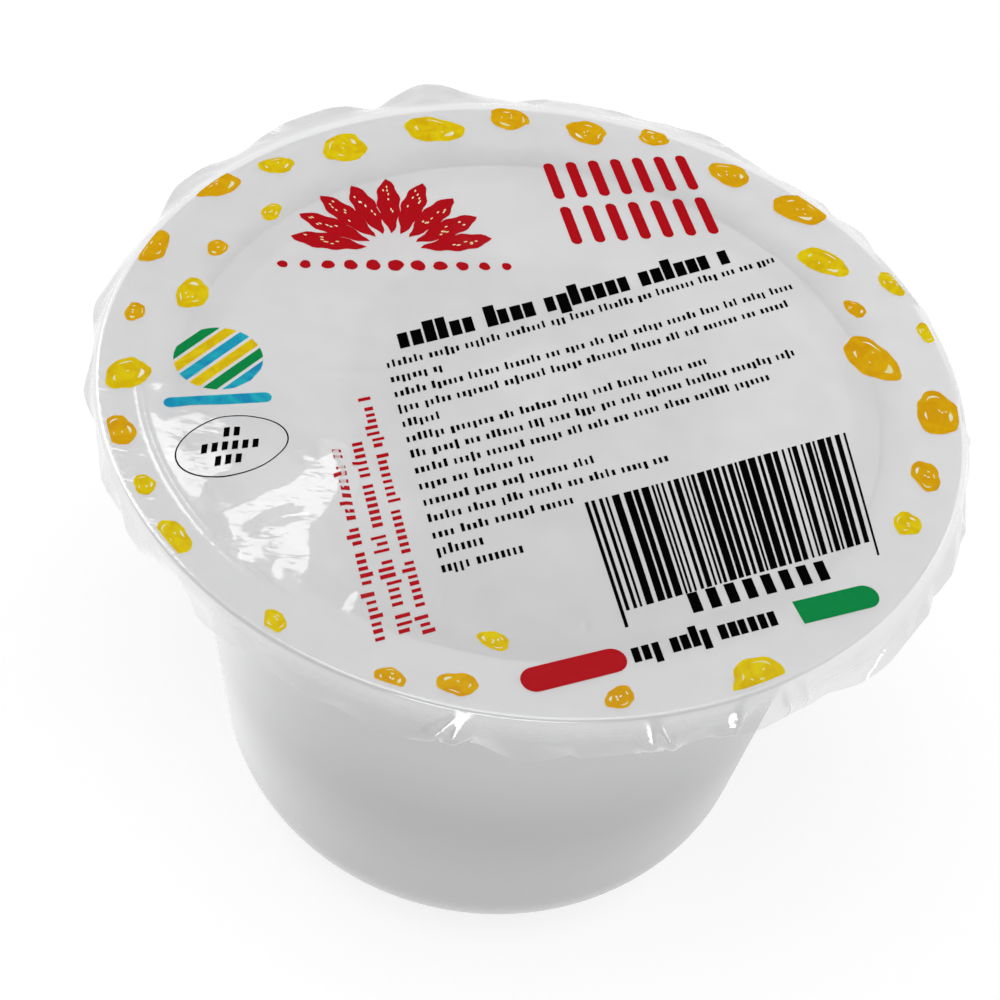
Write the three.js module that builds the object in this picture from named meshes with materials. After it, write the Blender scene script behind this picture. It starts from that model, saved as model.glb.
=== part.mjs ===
// A sealed tub of burrata: a white cup with a flat rim, the cheese and its liquid, and a clear film
// sealed to the rim, whose trimmed edge stands out at the back and hangs down at the sides and front.
// Millimetres, +Z up. The origin is the middle of the cup's flat base.

import * as THREE from 'three';
import { mergeVertices } from 'three/addons/utils/BufferGeometryUtils.js';

// Cup: driving sizes
const FLANGE_DIAMETER = 95;
const CUP_HEIGHT = 70.5;
const WALL_TOP_RADIUS = 40.2; // outside of the wall, carried up to the top of the rim
const WALL_TAPER = THREE.MathUtils.degToRad(5.5);
const WALL_THICKNESS = 0.8;
const BASE_FILLET = 15.5;
const RIM_BEND = 3.6; // radius of the top face where the wall turns out into the rim
const RIM_CORNER = 0.2;

// Filling: the cheese and its liquid, seen through the film
const FILL_DEPTH = 3; // liquid level below the top of the rim
const CROWN_HEIGHT = 1.1; // the cheese lifts the surface this much in the middle
const CROWN_RADIUS = 27;
const MENISCUS_HEIGHT = 0.4;
const MENISCUS_WIDTH = 1.5;

// Film: driving sizes
const GAP = 0.3; // between touching pieces
const FILM_THICKNESS = 0.4;
const FILM_SAG = 0.8;
const SKIRT_LENGTH = 4.2; // film past the rim's edge, measured along the film
const SKIRT_FRONT = { at: 268, spread: 32, length: 1.2 }; // a little more film is left at the front
const HANGING = 91; // degrees below level, at the sides and the front
const RAISED = 24; // degrees below level, at the back
const RAISED_AT = 95; // polar angle of the middle of the raised stretch
const RAISED_SPREAD = 71;
const SKIRT_FOLDS = [
  // stretches that stand higher or lower: polar angle, half width, lift in degrees, extra length
  { at: 358, spread: 8, lift: 4, length: 1.4 },
  { at: 36, spread: 7, lift: -9, length: -0.5 },
  { at: 60, spread: 5, lift: -7, length: -0.5 },
  { at: 72, spread: 6, lift: 8, length: 0.2 },
  { at: 112, spread: 5, lift: 16, length: 1.6 },
  { at: 130, spread: 8, lift: 14, length: -0.5 },
  { at: 150, spread: 8, lift: 15, length: -0.5 },
  { at: 176, spread: 8, lift: 8, length: 0.9 },
  { at: 204, spread: 9, lift: -5, length: -0.5 },
  { at: 229, spread: 10, lift: -5, length: -0.5 },
  { at: 326, spread: 20, lift: 26, length: -0.5 },
];
const PLEATS = [
  // waves round the skirt: how many, height at the trimmed edge, phase
  { count: 17, height: 0.25, phase: 0.7 },
  { count: 26, height: 0.2, phase: 2.1 },
];

// Facets
const CUP_SEGMENTS = 72;
const FILM_SEGMENTS = 144;
const ARC_STEPS = 5;
const SURFACE_STEPS = 6;
const SKIRT_STEPS = 3;
const BEND_STEPS = 2;

// Worked out from the sizes above
const FLANGE_RADIUS = FLANGE_DIAMETER / 2;
const BEND_RADIUS = GAP + FILM_THICKNESS / 2; // the film's middle surface turns round the rim's edge
const SLOPE = Math.tan(WALL_TAPER);
const FULL_TURN = 360;
const RIM_CENTRE = new THREE.Vector2(
  WALL_TOP_RADIUS - RIM_BEND * SLOPE + (RIM_BEND - WALL_THICKNESS) / Math.cos(WALL_TAPER),
  CUP_HEIGHT - RIM_BEND,
);
const FILLET_CENTRE = new THREE.Vector2(
  WALL_TOP_RADIUS - (CUP_HEIGHT - BASE_FILLET) * SLOPE - BASE_FILLET / Math.cos(WALL_TAPER),
  BASE_FILLET,
);

// Points on an arc of the profile, from one angle to another, both ends included
function arc(centre, radius, from, to) {
  return Array.from({ length: ARC_STEPS + 1 }, (_, step) => {
    const angle = from + ((to - from) * step) / ARC_STEPS;
    return new THREE.Vector2(
      centre.x + radius * Math.cos(angle),
      centre.y + radius * Math.sin(angle),
    );
  });
}

// Turns a profile of radius and height, which starts and ends on the axis, into a body with +Z up
function turned(profile, segments) {
  const geometry = new THREE.LatheGeometry(profile, segments);
  geometry.deleteAttribute('normal');
  geometry.deleteAttribute('uv');
  geometry.rotateX(Math.PI / 2);
  return mergeVertices(geometry);
}

function cupGeometry() {
  const underBend = arc(RIM_CENTRE, RIM_BEND - WALL_THICKNESS, Math.PI - WALL_TAPER, Math.PI / 2);
  const topBend = arc(RIM_CENTRE, RIM_BEND, Math.PI / 2, Math.PI - WALL_TAPER);
  const underside = CUP_HEIGHT - WALL_THICKNESS;
  return turned([
    new THREE.Vector2(0, 0),
    ...arc(FILLET_CENTRE, BASE_FILLET, -Math.PI / 2, -WALL_TAPER),
    ...underBend,
    new THREE.Vector2(FLANGE_RADIUS - RIM_CORNER, underside),
    new THREE.Vector2(FLANGE_RADIUS, underside + RIM_CORNER),
    new THREE.Vector2(FLANGE_RADIUS, CUP_HEIGHT - RIM_CORNER),
    new THREE.Vector2(FLANGE_RADIUS - RIM_CORNER, CUP_HEIGHT),
    ...topBend,
    ...arc(FILLET_CENTRE, BASE_FILLET - WALL_THICKNESS, -WALL_TAPER, -Math.PI / 2),
    new THREE.Vector2(0, WALL_THICKNESS),
  ], CUP_SEGMENTS);
}

// Height of the filling's surface: level, lifted in the middle by the cheese and at the wall
function fillingHeight(radius, wallRadius) {
  const inCrown = Math.min(radius / CROWN_RADIUS, 1);
  const crown = CROWN_HEIGHT * 0.5 * (1 + Math.cos(Math.PI * inCrown));
  const meniscus = MENISCUS_HEIGHT * Math.exp((radius - wallRadius) / MENISCUS_WIDTH);
  return CUP_HEIGHT - FILL_DEPTH + crown + meniscus;
}

function fillingGeometry() {
  const clear = WALL_THICKNESS + GAP;
  const wallTop = RIM_CENTRE.x - (RIM_BEND + GAP);
  const surface = Array.from({ length: SURFACE_STEPS + 1 }, (_, step) => {
    const radius = wallTop * (1 - (step / SURFACE_STEPS) ** 2);
    return new THREE.Vector2(radius, fillingHeight(radius, wallTop));
  });
  return turned([
    new THREE.Vector2(0, clear),
    ...arc(FILLET_CENTRE, BASE_FILLET - clear, -Math.PI / 2, -WALL_TAPER),
    ...surface,
  ], CUP_SEGMENTS);
}

// Smooth bump in polar angle, 1 at its middle
function bump(angle, { at, spread }) {
  const away = Math.abs(angle - at) % FULL_TURN;
  return Math.exp(-((Math.min(away, FULL_TURN - away) / spread) ** 2));
}

// How steeply the skirt falls at a polar angle, in degrees below level
function skirtDroop(angle) {
  const away = Math.abs(angle - RAISED_AT) % FULL_TURN;
  const raised = 1 / (1 + (Math.min(away, FULL_TURN - away) / RAISED_SPREAD) ** 4);
  const droop = HANGING - (HANGING - RAISED) * raised;
  return SKIRT_FOLDS.reduce((sum, fold) => sum - fold.lift * bump(angle, fold), droop);
}

function skirtLength(angle) {
  const length = SKIRT_LENGTH + SKIRT_FRONT.length * bump(angle, SKIRT_FRONT);
  return SKIRT_FOLDS.reduce((sum, fold) => sum + fold.length * bump(angle, fold), length);
}

function pleatHeight(angle) {
  const turn = THREE.MathUtils.degToRad(angle);
  return PLEATS.reduce((sum, w) => sum + w.height * Math.sin(w.count * turn + w.phase), 0);
}

// Where a point of the flat film disc ends up. Past the rim's edge the disc's radius counts steps:
// one round the bend, and one more along the skirt.
function filmPoint(angle, discRadius, offset) {
  const pastEdge = Math.max(discRadius - FLANGE_RADIUS, 0);
  const alongSkirt = Math.max(pastEdge - 1, 0);
  const droop = THREE.MathUtils.degToRad(skirtDroop(angle) * Math.min(pastEdge, 1));
  const run = alongSkirt * skirtLength(angle);
  const bend = BEND_RADIUS + offset + pleatHeight(angle) * alongSkirt ** 2;
  const inOpening = Math.min(discRadius / RIM_CENTRE.x, 1);
  const sag = FILM_SAG * (1 - inOpening ** 2) ** 2;
  const radius = Math.min(discRadius, FLANGE_RADIUS) + bend * Math.sin(droop) + run * Math.cos(droop);
  const height = CUP_HEIGHT - sag + bend * Math.cos(droop) - run * Math.sin(droop);
  const turn = THREE.MathUtils.degToRad(angle);
  return [radius * Math.cos(turn), radius * Math.sin(turn), height];
}

function filmGeometry() {
  const flat = [0.35, 0.65, 0.85, 1].map((share) => RIM_CENTRE.x * share);
  const bend = Array.from({ length: BEND_STEPS }, (_, step) => (step + 1) / BEND_STEPS);
  const skirt = Array.from({ length: SKIRT_STEPS }, (_, step) => 1 + (step + 1) / SKIRT_STEPS);
  const radii = [0, ...flat, FLANGE_RADIUS, ...[...bend, ...skirt].map((u) => FLANGE_RADIUS + u)];
  const half = FILM_THICKNESS / 2;
  const geometry = turned([
    ...radii.map((radius) => new THREE.Vector2(radius, -half)),
    ...radii.toReversed().map((radius) => new THREE.Vector2(radius, half)),
  ], FILM_SEGMENTS);
  const position = geometry.getAttribute('position');
  for (let i = 0; i < position.count; i += 1) {
    const turn = Math.atan2(position.getY(i), position.getX(i));
    const angle = (THREE.MathUtils.radToDeg(turn) + FULL_TURN) % FULL_TURN;
    const discRadius = Math.hypot(position.getX(i), position.getY(i));
    position.setXYZ(i, ...filmPoint(angle, discRadius, position.getZ(i)));
  }
  return geometry;
}

function piece(name, geometry, look) {
  geometry.computeVertexNormals();
  const mesh = new THREE.Mesh(geometry, new THREE.MeshStandardMaterial({ metalness: 0, ...look }));
  mesh.name = name;
  return mesh;
}

const tub = new THREE.Group();
tub.add(piece('cup', cupGeometry(), { color: 0xe6e5e6, roughness: 0.3 }));
tub.add(piece('filling', fillingGeometry(), { color: 0xf1efea, roughness: 0.25 }));
tub.add(piece('lid_film', filmGeometry(), {
  color: 0xe9ebea,
  roughness: 0.12,
  transparent: true,
  opacity: 0.45,
}));

export default tub;
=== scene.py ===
"""The looks of a sealed tub of burrata: white cup, filling, and a clear printed film over both.

Shapes are worked out in millimetres and degrees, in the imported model's frame: the origin is the
middle of the cup's base, +Z is up, and the print is read from -Y. Meshes are written in metres.
"""

import math

import bpy
import numpy as np
from mathutils import Matrix, Vector
from mathutils.geometry import delaunay_2d_cdt

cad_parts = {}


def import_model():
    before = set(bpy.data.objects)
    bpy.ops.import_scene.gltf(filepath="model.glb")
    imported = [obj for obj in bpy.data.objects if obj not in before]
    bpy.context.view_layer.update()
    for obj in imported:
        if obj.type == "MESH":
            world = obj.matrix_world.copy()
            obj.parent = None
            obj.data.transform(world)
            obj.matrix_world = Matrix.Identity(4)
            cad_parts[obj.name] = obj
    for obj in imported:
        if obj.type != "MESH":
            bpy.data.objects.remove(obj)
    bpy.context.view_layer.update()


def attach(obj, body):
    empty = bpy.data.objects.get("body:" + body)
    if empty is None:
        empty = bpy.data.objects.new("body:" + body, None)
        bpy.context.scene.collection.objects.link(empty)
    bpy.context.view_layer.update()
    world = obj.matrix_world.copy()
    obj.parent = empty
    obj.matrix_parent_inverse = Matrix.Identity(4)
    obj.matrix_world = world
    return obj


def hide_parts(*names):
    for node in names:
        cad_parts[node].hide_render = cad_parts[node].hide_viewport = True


MM = 0.001
SEED = 7

# Cup, as in the solids
FLANGE_RADIUS = 47.5
CUP_HEIGHT = 70.5
WALL_TOP_RADIUS = 40.2
WALL_TAPER = math.radians(5.5)
WALL_THICKNESS = 0.8
BASE_FILLET = 15.5
RIM_BEND = 3.6
RIM_CORNER = 0.25  # a little rounder than the solid's
RIM_CENTRE = (
    WALL_TOP_RADIUS
    - RIM_BEND * math.tan(WALL_TAPER)
    + (RIM_BEND - WALL_THICKNESS) / math.cos(WALL_TAPER),
    CUP_HEIGHT - RIM_BEND,
)
FILLET_CENTRE = (
    WALL_TOP_RADIUS
    - (CUP_HEIGHT - BASE_FILLET) * math.tan(WALL_TAPER)
    - BASE_FILLET / math.cos(WALL_TAPER),
    BASE_FILLET,
)
BASE_RINGS = (0, 6, 12, 17)
FILLET_STEPS = (26, 20)  # outside and inside
WALL_STEPS = 20
RIM_STEPS = (10, 14)  # below and above
CORNER_STEPS = 4
CUP_SEGMENTS = 256

# Filling, as in the solids
FILL_DEPTH = 3.0
CROWN_HEIGHT = 1.1
CROWN_RADIUS = 27.0
MENISCUS_HEIGHT = 0.4
MENISCUS_WIDTH = 1.5
INTO_WALL = 0.05  # the filling reaches this far into the wall, so no gap shows
SURFACE_RINGS = 40
SURFACE_CROWDING = 1.6  # crowds these rings towards the wall
FILLING_FILLET_STEPS = 14
FILLING_SEGMENTS = 192

# Film, as in the solids
FILM_LIFT = 0.5  # the film's middle surface lies this far above the rim
FILM_SAG = 0.8
SKIRT_LENGTH = 4.2
HANGING = 91.0
RAISED = 24.0
RAISED_AT = 95.0
RAISED_SPREAD = 71.0
SKIRT_FRONT = (268, 32, 1.2)  # polar angle, half width, extra length
SKIRT_FOLDS = [
    # polar angle, half width, lift in degrees, extra length
    (358, 8, 4, 1.4),
    (36, 7, -9, -0.5),
    (60, 5, -7, -0.5),
    (72, 6, 8, 0.2),
    (112, 5, 16, 1.6),
    (130, 8, 14, -0.5),
    (150, 8, 15, -0.5),
    (176, 8, 8, 0.9),
    (204, 9, -5, -0.5),
    (229, 10, -5, -0.5),
    (326, 20, 26, -0.5),
]
PLEATS = [(17, 0.25, 0.7), (26, 0.2, 2.1)]  # count, height at the trimmed edge, phase

# Film detail that is too fine for the solids
SKIRT_DARTS = [
    # narrow folds that stand out below the rim and catch the light:
    # polar angle, lean towards the trimmed edge, half width, lift, all in degrees
    (267.5, -5.0, 1.4, 33),
    (267.5, -1.6, 1.6, 33),
    (288.5, 0.2, 1.6, 33),
    (288.5, 3.4, 1.4, 33),
    (300, -2.5, 0.9, 37),
    (305, 0.5, 0.8, 33),
    (307.6, 0.7, 0.8, 31),
]
DART_FADES = 0.38  # share of the skirt's length, up to the trimmed edge, over which a dart fades
DART_CLEARS = 8.0  # degrees of a dart's lift at which its film is drawn smooth
EDGE_KNOTS = 74  # straight cuts round the trimmed edge
EDGE_JITTER = 0.32
KNOT_WANDER = 0.4  # of a cut's place, in shares of the way to the next
CRUMPLE_KNOTS = 84  # corners round the skirt where its small flat facets meet
CRUMPLE_ROWS = [0.3, 0.65, 1.0]  # shares of the skirt's length at which they lie
CRUMPLE_HEIGHT = 0.55  # at the trimmed edge
CRUMPLE_WANDER = 0.38  # of a corner's place round the skirt, in shares of the way to the next
CRUMPLE_ROW_WANDER = 0.12  # and along its length
CRUMPLE_PAST_EDGE = 0.05
CREASE_FADE = 1.5
SEAL_BEADS = (42.95, 43.5)  # radii of the two lines that the sealing tool leaves
SEAL_BEAD_HEIGHT = 0.055
SEAL_BEAD_WIDTH = 0.15
SEAL_BEAD_AT = 216  # the beads are deepest at this polar angle
SEAL_BEAD_SPREAD = 27
WAVE_HEIGHT = 0.05  # of the slow waves all over the window
WAVES = [(0.21, 0.13, 0.5), (-0.08, 0.17, 1.9)]  # radians for each mm of x, of y, and phase
WAVE_EDGE = 2.5  # the waves and creases fade out over this much of the opening's edge
# polar angles from, to, and steps between them
FILM_SEGMENTS = [(262, 293, 160), (293, 538, 280), (178, 262, 280)]
# radii from, to, and rings between them
FILM_RINGS = [(1.2, 16.8, 7), (16.8, 42.4, 83), (42.4, FLANGE_RADIUS, 24)]
BEND_STEPS = 7
SKIRT_STEPS = 11

# Print
INK_LIFT = 0.05  # above the film's middle surface
FLECK_LIFT = 0.09
PRINT_RADIUS = 47.1  # spots are cut off here
BLOCK_STEP = 0.8  # about this far between a block's points
LABEL_UP = 109.5  # polar direction in which the print's lines are stacked
WORD_BLOCKS = (3, 9)  # least number of blocks in a word, and one past the largest
WORD_GAP = 0.75  # further room between words, in pitches
TALL = (0.22, 1.42)  # share of the blocks that stand tall, and how tall
DEEP = (0.1, 0.35)  # share that reach down, and how deep
LINE_FILL = (0.42, 0.62)  # share of the pitch that a block fills
# Lines of blocks: start, heading, length, height of a block, pitch, fill
TITLE = ((-15.2, -0.4), 32, 42.7, 2.35, 1.6, (0.74, 0.88))
FOOT_LINE = ((13.2, -39.5), 27.8, 16.4, 1.75, 1.1, (0.7, 0.85))
UPRIGHT_LINES = [
    ((-10.7, -41.1), LABEL_UP, 25, 1.0, 0.9, LINE_FILL),
    ((-8.5, -39.7), LABEL_UP, 27, 1.15, 0.9, LINE_FILL),
    ((-6.4, -39.4), LABEL_UP, 33, 1.0, 0.9, LINE_FILL),
]
UPRIGHT_SLANT = 100
PARAGRAPH = [50.5, 6.5, 52, 50, 5, 37, 48, 43, 14, 20, 28, 16, 6, 9]  # lengths, top to bottom
PARAGRAPH_STARTS = ((-16.1, -3.8), (-6.4, -31.8))  # of the first and the last line
PARAGRAPH_HEADINGS = (32.7, -3.5)  # of the first line, and what is added by the last
PARAGRAPH_PITCH = 0.66
PARAGRAPH_HEIGHTS = [0.8] * 12 + [0.95] * 2
BARS_TOP = ((6.8, -19.4), (34.3, -3.7))
BARS_BOTTOM = ((11.4, -33.5), (37.1, -19.0))
DARK_BARS = [0.009, 0.013, 0.02, 0.028]  # widths, in shares of the bar code's length
CLEAR_BARS = [0.007, 0.01, 0.015]
END_BARS = 1.13  # length of the end bars, to that of the others
UNDER_BARS = ((18.6, -32.3), 27.3, 8, 2.05, (1.15, 2.5))  # start, heading, blocks, pitch, size
RED_CAPSULE = ((3.9, -43.2), (11.0, -39.6), 1.45)  # start, end, half width
GREEN_CAPSULE = ((29.0, -30.3), (35.8, -26.9), 1.45)
BADGE_AT = (-34.2, -6.6)
BADGE_HEADING = 58
BADGE_RADIUS = 4.8
BADGE_GAP = 0.08  # between bands, to the radius
BADGE_BAR = ((-37.6, -14.3), (-28.2, -11.3), 0.75)
OVAL_AT = (-30.0, -19.3)
OVAL_HEADINGS = (21.5, 97)  # of its length and its height
OVAL_HALVES = ((5.9, 4.4), (5.74, 4.25))  # outside and inside of its line
OVAL_ROWS = ((1.25, 2), (-0.75, 6), (-2.75, 3))  # height over its middle, blocks
OVAL_PITCH = 1.06
OVAL_BLOCK = (0.62, 1.3)
PETALS_AT = (-18.3, 15.5)
PETALS_TILT = 13
PETALS = 9
PETAL_TURNS = (12, 19.5)  # to the first petal, and from one to the next
PETAL_REACH = (3.2, 13.2)  # of root and tip from the middle
PETAL_HALF = 1.75
PETAL_SHORTENS = 0.25  # for each petal away from the middle one
PETAL_JITTER = 0.4
PETAL_FLECKS = 7
FLECK_SIZE = (0.22, 0.1)
FLECK_LUMPS = 0.2
DOTS = 11
DOT_ROW = (2.6, 2.4)  # from one dot to the next, and from the petals' middle down to the row
DOT_SIZES = (0.95, 0.07)  # the middle one's, and how much each next one is smaller
RED_BARS_AT = (2.4, 21.6)
RED_BARS_HEADING = 18.5
RED_BARS_RISE = (0.7, 9.0)  # of the two rows
RED_BARS_RUN = (0.5, 2.85, 7)  # to the first bar, from one to the next, and count
RED_BAR = (5.5, 0.68)  # length and half width
SPOT_TRIES = 1500
SPOT_MIDDLES = (37.5, 46.8)  # least and largest radius at which a spot's middle lies
SPOT_SIZES = (1.2, 3.2)  # half sizes
SPOT_STRETCH = (1.15, 0.88)  # along the rim and across it
SPOT_LUMPS = 0.17
SPOT_TILT = 35
SPOT_CLEAR = 1.3  # room between a spot and the other print
SPOT_APART = (1.25, 2.6)  # room between spots, in sizes and then in millimetres
SPOT_DOT = (0.16, 0.09)
GAP_STROKES = [
    # middle, start past the spot's own, sweep round it, and half width, all in shares
    (0.62, 0.0, 0.14, 0.1),
    (0.72, 0.3, 0.16, 0.04),
    (0.6, 0.6, 0.1, 0.05),
]

# Finishes: places and distances are in metres from here on
NOISE_RANGE = (0.35, 0.65)  # most of a noise's values lie between these

# Finish of the cup
TOP_OF_WALL = (0.058, 0.066)  # heights between which the wall's gloss turns to the rim's
WALL_ROUGHNESS = 0.24
RIM_ROUGHNESS = 0.6
PAINTED_SHADE_HEIGHT = 0.033  # height at which the band of painted shade on the wall is darkest
PAINTED_SHADE_REACH = (0.002, 0.014)  # distances above and below it between which the painted shade fades out

# Finish of the filling
PAINTED_FRONT_SHADE_AT = (0.002, -0.038, 0.068)  # middle of the painted shade at the front of the window
PAINTED_FRONT_SHADE_REACH = (0.008, 0.026)  # distances from it between which the painted shade fades out

# Finish of the film
FILM_GLOSS = 0.08  # share of light that both faces of the film reflect, seen straight on
WINDOW_HAZE = 0.58  # share of milky white over the rim and the filling
FRONT_HAZE = 0.14  # down the skirt at the front, where it is stretched thinnest
SKIRT_HAZE = 0.33  # down the rest of the skirt
HAZE_UNEVEN = 0.02
WINDOW_CLEAR = (0.985, 0.985, 0.985, 1)  # what the clear share lets through
FRONT_CLEAR = (0.86, 0.86, 0.865, 1)
SKIRT_CLEAR = (0.63, 0.63, 0.635, 1)
FILM_ROUGHNESS = 0.045
BEND_ROUGHNESS = 0.26  # where the film turns down at the rim's edge, but for the left
STREAK_HEADING = 32  # the film is stretched along this polar direction
STREAK_SHAPE = (0.3, 1, 1)  # waves of its ripples along that direction, across it and upwards
RIPPLE_SCALE = 850  # waves for each metre
PAST_RIM = (0.0476, 0.0486)  # radii between which the film's clear share turns to the skirt's
DOWN_SKIRT = (0.07, 0.0676)  # heights between which its haze does
FRONT_AT = (0, -0.05, 0.068)  # middle of the thin stretch at the front
FRONT_REACH = (0.04, 0.062)  # distances from it between which the stretch ends
LEFT_AT = (-0.042, -0.02, 0.071)  # middle of the stretch at the left where the bend stays sharp
LEFT_REACH = (0.03, 0.05)
BEND_RADII = (0.0472, 0.0476)  # the bend starts between these
BEND_HEIGHTS = (0.0698, 0.0703)  # and ends between these

# Studio, in metres and degrees
TENT_RADIANCE = 0.66
DIM_PARTS = [
    # azimuth, elevation, degrees to its edge inside and outside, share of the light left
    (0, 46, 22, 36, 0.05),
    (180, 10, 20, 75, 0.15),
]
FLOOR_SIZE = 3
FLOOR_GLOW = 0.68
SOFTBOXES = [
    # name, azimuth, elevation, distance, size, radiance, what it lights, whether gloss mirrors it
    ("overhead", 180, 80, 1.1, (0.9, 0.9), 1.5, "all", True),
    ("back_fill", 0, 62, 0.45, (0.25, 0.25), 4.0, "tub", False),
    ("left", -110, -12, 0.0613, (0.012, 0.055), 4.5, "cup", False),
    ("over_rim", 0, 62, 0.45, (0.25, 0.25), 5.0, "cup", False),
    ("near_wall", 163, 12, 0.085, (0.13, 0.025), 1.15, "cup", True),
    ("near_left", -147, -12, 0.1, (0.05, 0.03), 0.9, "cup", True),
    ("near_right", 75, 35, 0.14, (0.05, 0.05), 4.0, "cup and film", False),
    ("back_left", -48, 45, 0.75, (0.4, 0.33), 3.0, "film", True),
    ("back_left_core", -48, 45, 0.74, (0.22, 0.18), 4.6, "film", True),
    ("front_strip", 180, 9, 1.1, (0.7, 0.3), 8.0, "film", True),
    ("right_strip", 105, 14, 1.1, (0.5, 0.14), 3.5, "film", True),
]
SOFTBOX_AIM = (0, 0, 0.05)

# Camera
CAMERA_AT = (-0.00187, -0.14575, 0.20708)
CAMERA_DOWN = 47.52  # degrees below level
CAMERA_ROLL = 8.43
CAMERA_LENS = 64.8

# Colours, linear
WHITE_PLASTIC = (0.505, 0.505, 0.51, 1)
# painted shade: the wall's colour around half its height
PAINTED_SHADE_PLASTIC = (0.44, 0.44, 0.445, 1)
# painted shade: the filling's colour at the front of the window
PAINTED_FRONT_SHADE = (0.45, 0.445, 0.45, 1)
CHEESE_HOLLOWS = (0.61, 0.605, 0.61, 1)
CHEESE_CURDS = (0.65, 0.645, 0.65, 1)
MILKY_FILM = (0.605, 0.605, 0.61, 1)
FLOOR_COLOUR = (0.5, 0.5, 0.5, 1)
INK_COLOURS = {
    # where the ink is thin and where it is full
    "print_black": ((0.001, 0.001, 0.001, 1), (0.0, 0.0, 0.0, 1)),
    "print_red": ((0.41, 0.002, 0.007, 1), (0.39, 0.002, 0.006, 1)),
    "print_orange": ((0.67, 0.38, 0.002, 1), (0.61, 0.3, 0.001, 1)),
    "print_yellow": ((0.71, 0.55, 0.003, 1), (0.62, 0.4, 0.001, 1)),
    "print_green": ((0.002, 0.222, 0.05, 1), (0.001, 0.212, 0.049, 1)),
    "print_blue": ((0.012, 0.37, 0.46, 1), (0.006, 0.23, 0.42, 1)),
    "print_flecks": ((0.7, 0.65, 0.3, 1), (0.8, 0.78, 0.6, 1)),
}
INK_IOR = 1.38
BLACK_IOR = 1.2  # the black shines less
WHITE = (1, 1, 1, 1)


# ---------------- meshes


def new_piece(name, vertices, faces, slot, material, replaces=()):
    """Makes a mesh object from points in millimetres, and registers it with the frame."""
    mesh = bpy.data.meshes.new(name)
    mesh.from_pydata((np.asarray(vertices, float) * MM).tolist(), [], faces)
    mesh.validate()
    mesh.shade_smooth()
    mesh.materials.append(material)
    piece = bpy.data.objects.new(name, mesh)
    bpy.context.scene.collection.objects.link(piece)
    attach(piece, "root")
    if replaces:
        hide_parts(*replaces)
    return piece


def grid_faces(rows, columns, first=0, closed=True):
    """Quads of a grid of points, counted from the first, whose columns close round or don't."""
    faces = []
    for row in range(rows - 1):
        low = first + row * columns
        for column in range(columns if closed else columns - 1):
            after = (column + 1) % columns
            faces.append((low + column, low + after, low + columns + after, low + columns + column))
    return faces


def turned(profile, segments):
    """Vertices and faces of a profile of (radius, height) that starts and ends on the axis."""
    inner = profile[1:-1]
    turns = np.linspace(0, 2 * math.pi, segments, endpoint=False)
    vertices = [
        (radius * math.cos(turn), radius * math.sin(turn), height)
        for radius, height in inner
        for turn in turns
    ]
    faces = grid_faces(len(inner), segments)
    first, last = len(vertices), len(vertices) + 1
    vertices += [(0, 0, profile[0][1]), (0, 0, profile[-1][1])]
    top = (len(inner) - 1) * segments
    for column in range(segments):
        after = (column + 1) % segments
        faces.append((first, after, column))
        faces.append((last, top + column, top + after))
    return vertices, faces


def arc(centre, radius, start, end, steps):
    """Points on an arc, angles in degrees, both ends included."""
    return [
        (centre[0] + radius * math.cos(turn), centre[1] + radius * math.sin(turn))
        for turn in np.radians(np.linspace(start, end, steps + 1))
    ]


# ---------------- materials


class Nodes:
    """A short way to write the nodes of a material, or of the world."""

    def __init__(self, name, world=False):
        self.owner = (bpy.data.worlds if world else bpy.data.materials).new(name)
        self.owner.use_nodes = True
        self.tree = self.owner.node_tree
        self.tree.nodes.clear()
        self.output = self.add("ShaderNodeOutput" + ("World" if world else "Material"))

    def add(self, kind, inputs=None, **settings):
        node = self.tree.nodes.new(kind)
        for key, value in settings.items():
            setattr(node, key, value)
        for key, value in (inputs or {}).items():
            if isinstance(value, bpy.types.NodeSocket):
                self.tree.links.new(value, node.inputs[key])
            else:
                node.inputs[key].default_value = value
        return node

    def place(self):
        return self.add("ShaderNodeTexCoord").outputs["Object"]

    def noise(self, scale, detail=3, roughness=0.5, distortion=0.0, place=None):
        """Noise over the object's own coordinates, scale in waves for each metre."""
        inputs = {"Vector": place or self.place(), "Scale": scale, "Detail": detail}
        inputs |= {"Roughness": roughness, "Distortion": distortion}
        return self.add("ShaderNodeTexNoise", inputs).outputs["Fac"]

    def distance_from(self, point, plane_only=False):
        """Distance in metres from a point, or from the vertical line through it."""
        away = self.add("ShaderNodeVectorMath", {0: self.place(), 1: point}, operation="SUBTRACT")
        kept = (1, 1, 0) if plane_only else (1, 1, 1)
        away = self.add("ShaderNodeVectorMath", {0: away.outputs[0], 1: kept}, operation="MULTIPLY")
        length = self.add("ShaderNodeVectorMath", {0: away.outputs[0]}, operation="LENGTH")
        return length.outputs["Value"]

    def radius(self):
        """Distance in metres from the tub's axis."""
        return self.distance_from((0, 0, 0), plane_only=True)

    def height(self):
        return self.add("ShaderNodeSeparateXYZ", {0: self.place()}).outputs["Z"]

    def compute(self, operation, first, second=0.0):
        return self.add("ShaderNodeMath", {0: first, 1: second}, operation=operation).outputs[0]

    def spread(self, value, low, high, to_low=0.0, to_high=1.0, **settings):
        """Carries a value between two limits over to two others, and holds it there past them."""
        inputs = {0: value, 1: low, 2: high, 3: to_low, 4: to_high}
        return self.add("ShaderNodeMapRange", inputs, **settings).outputs[0]

    def blend(self, share, first, second):
        node = self.add("ShaderNodeMix", {0: share, 6: first, 7: second}, data_type="RGBA")
        return node.outputs[2]

    def bumps(self, height, strength, distance):
        inputs = {"Height": height, "Strength": strength, "Distance": distance}
        return self.add("ShaderNodeBump", inputs).outputs["Normal"]

    def finish(self, shader):
        self.tree.links.new(shader.outputs[0], self.output.inputs["Surface"])
        return self.owner


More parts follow.
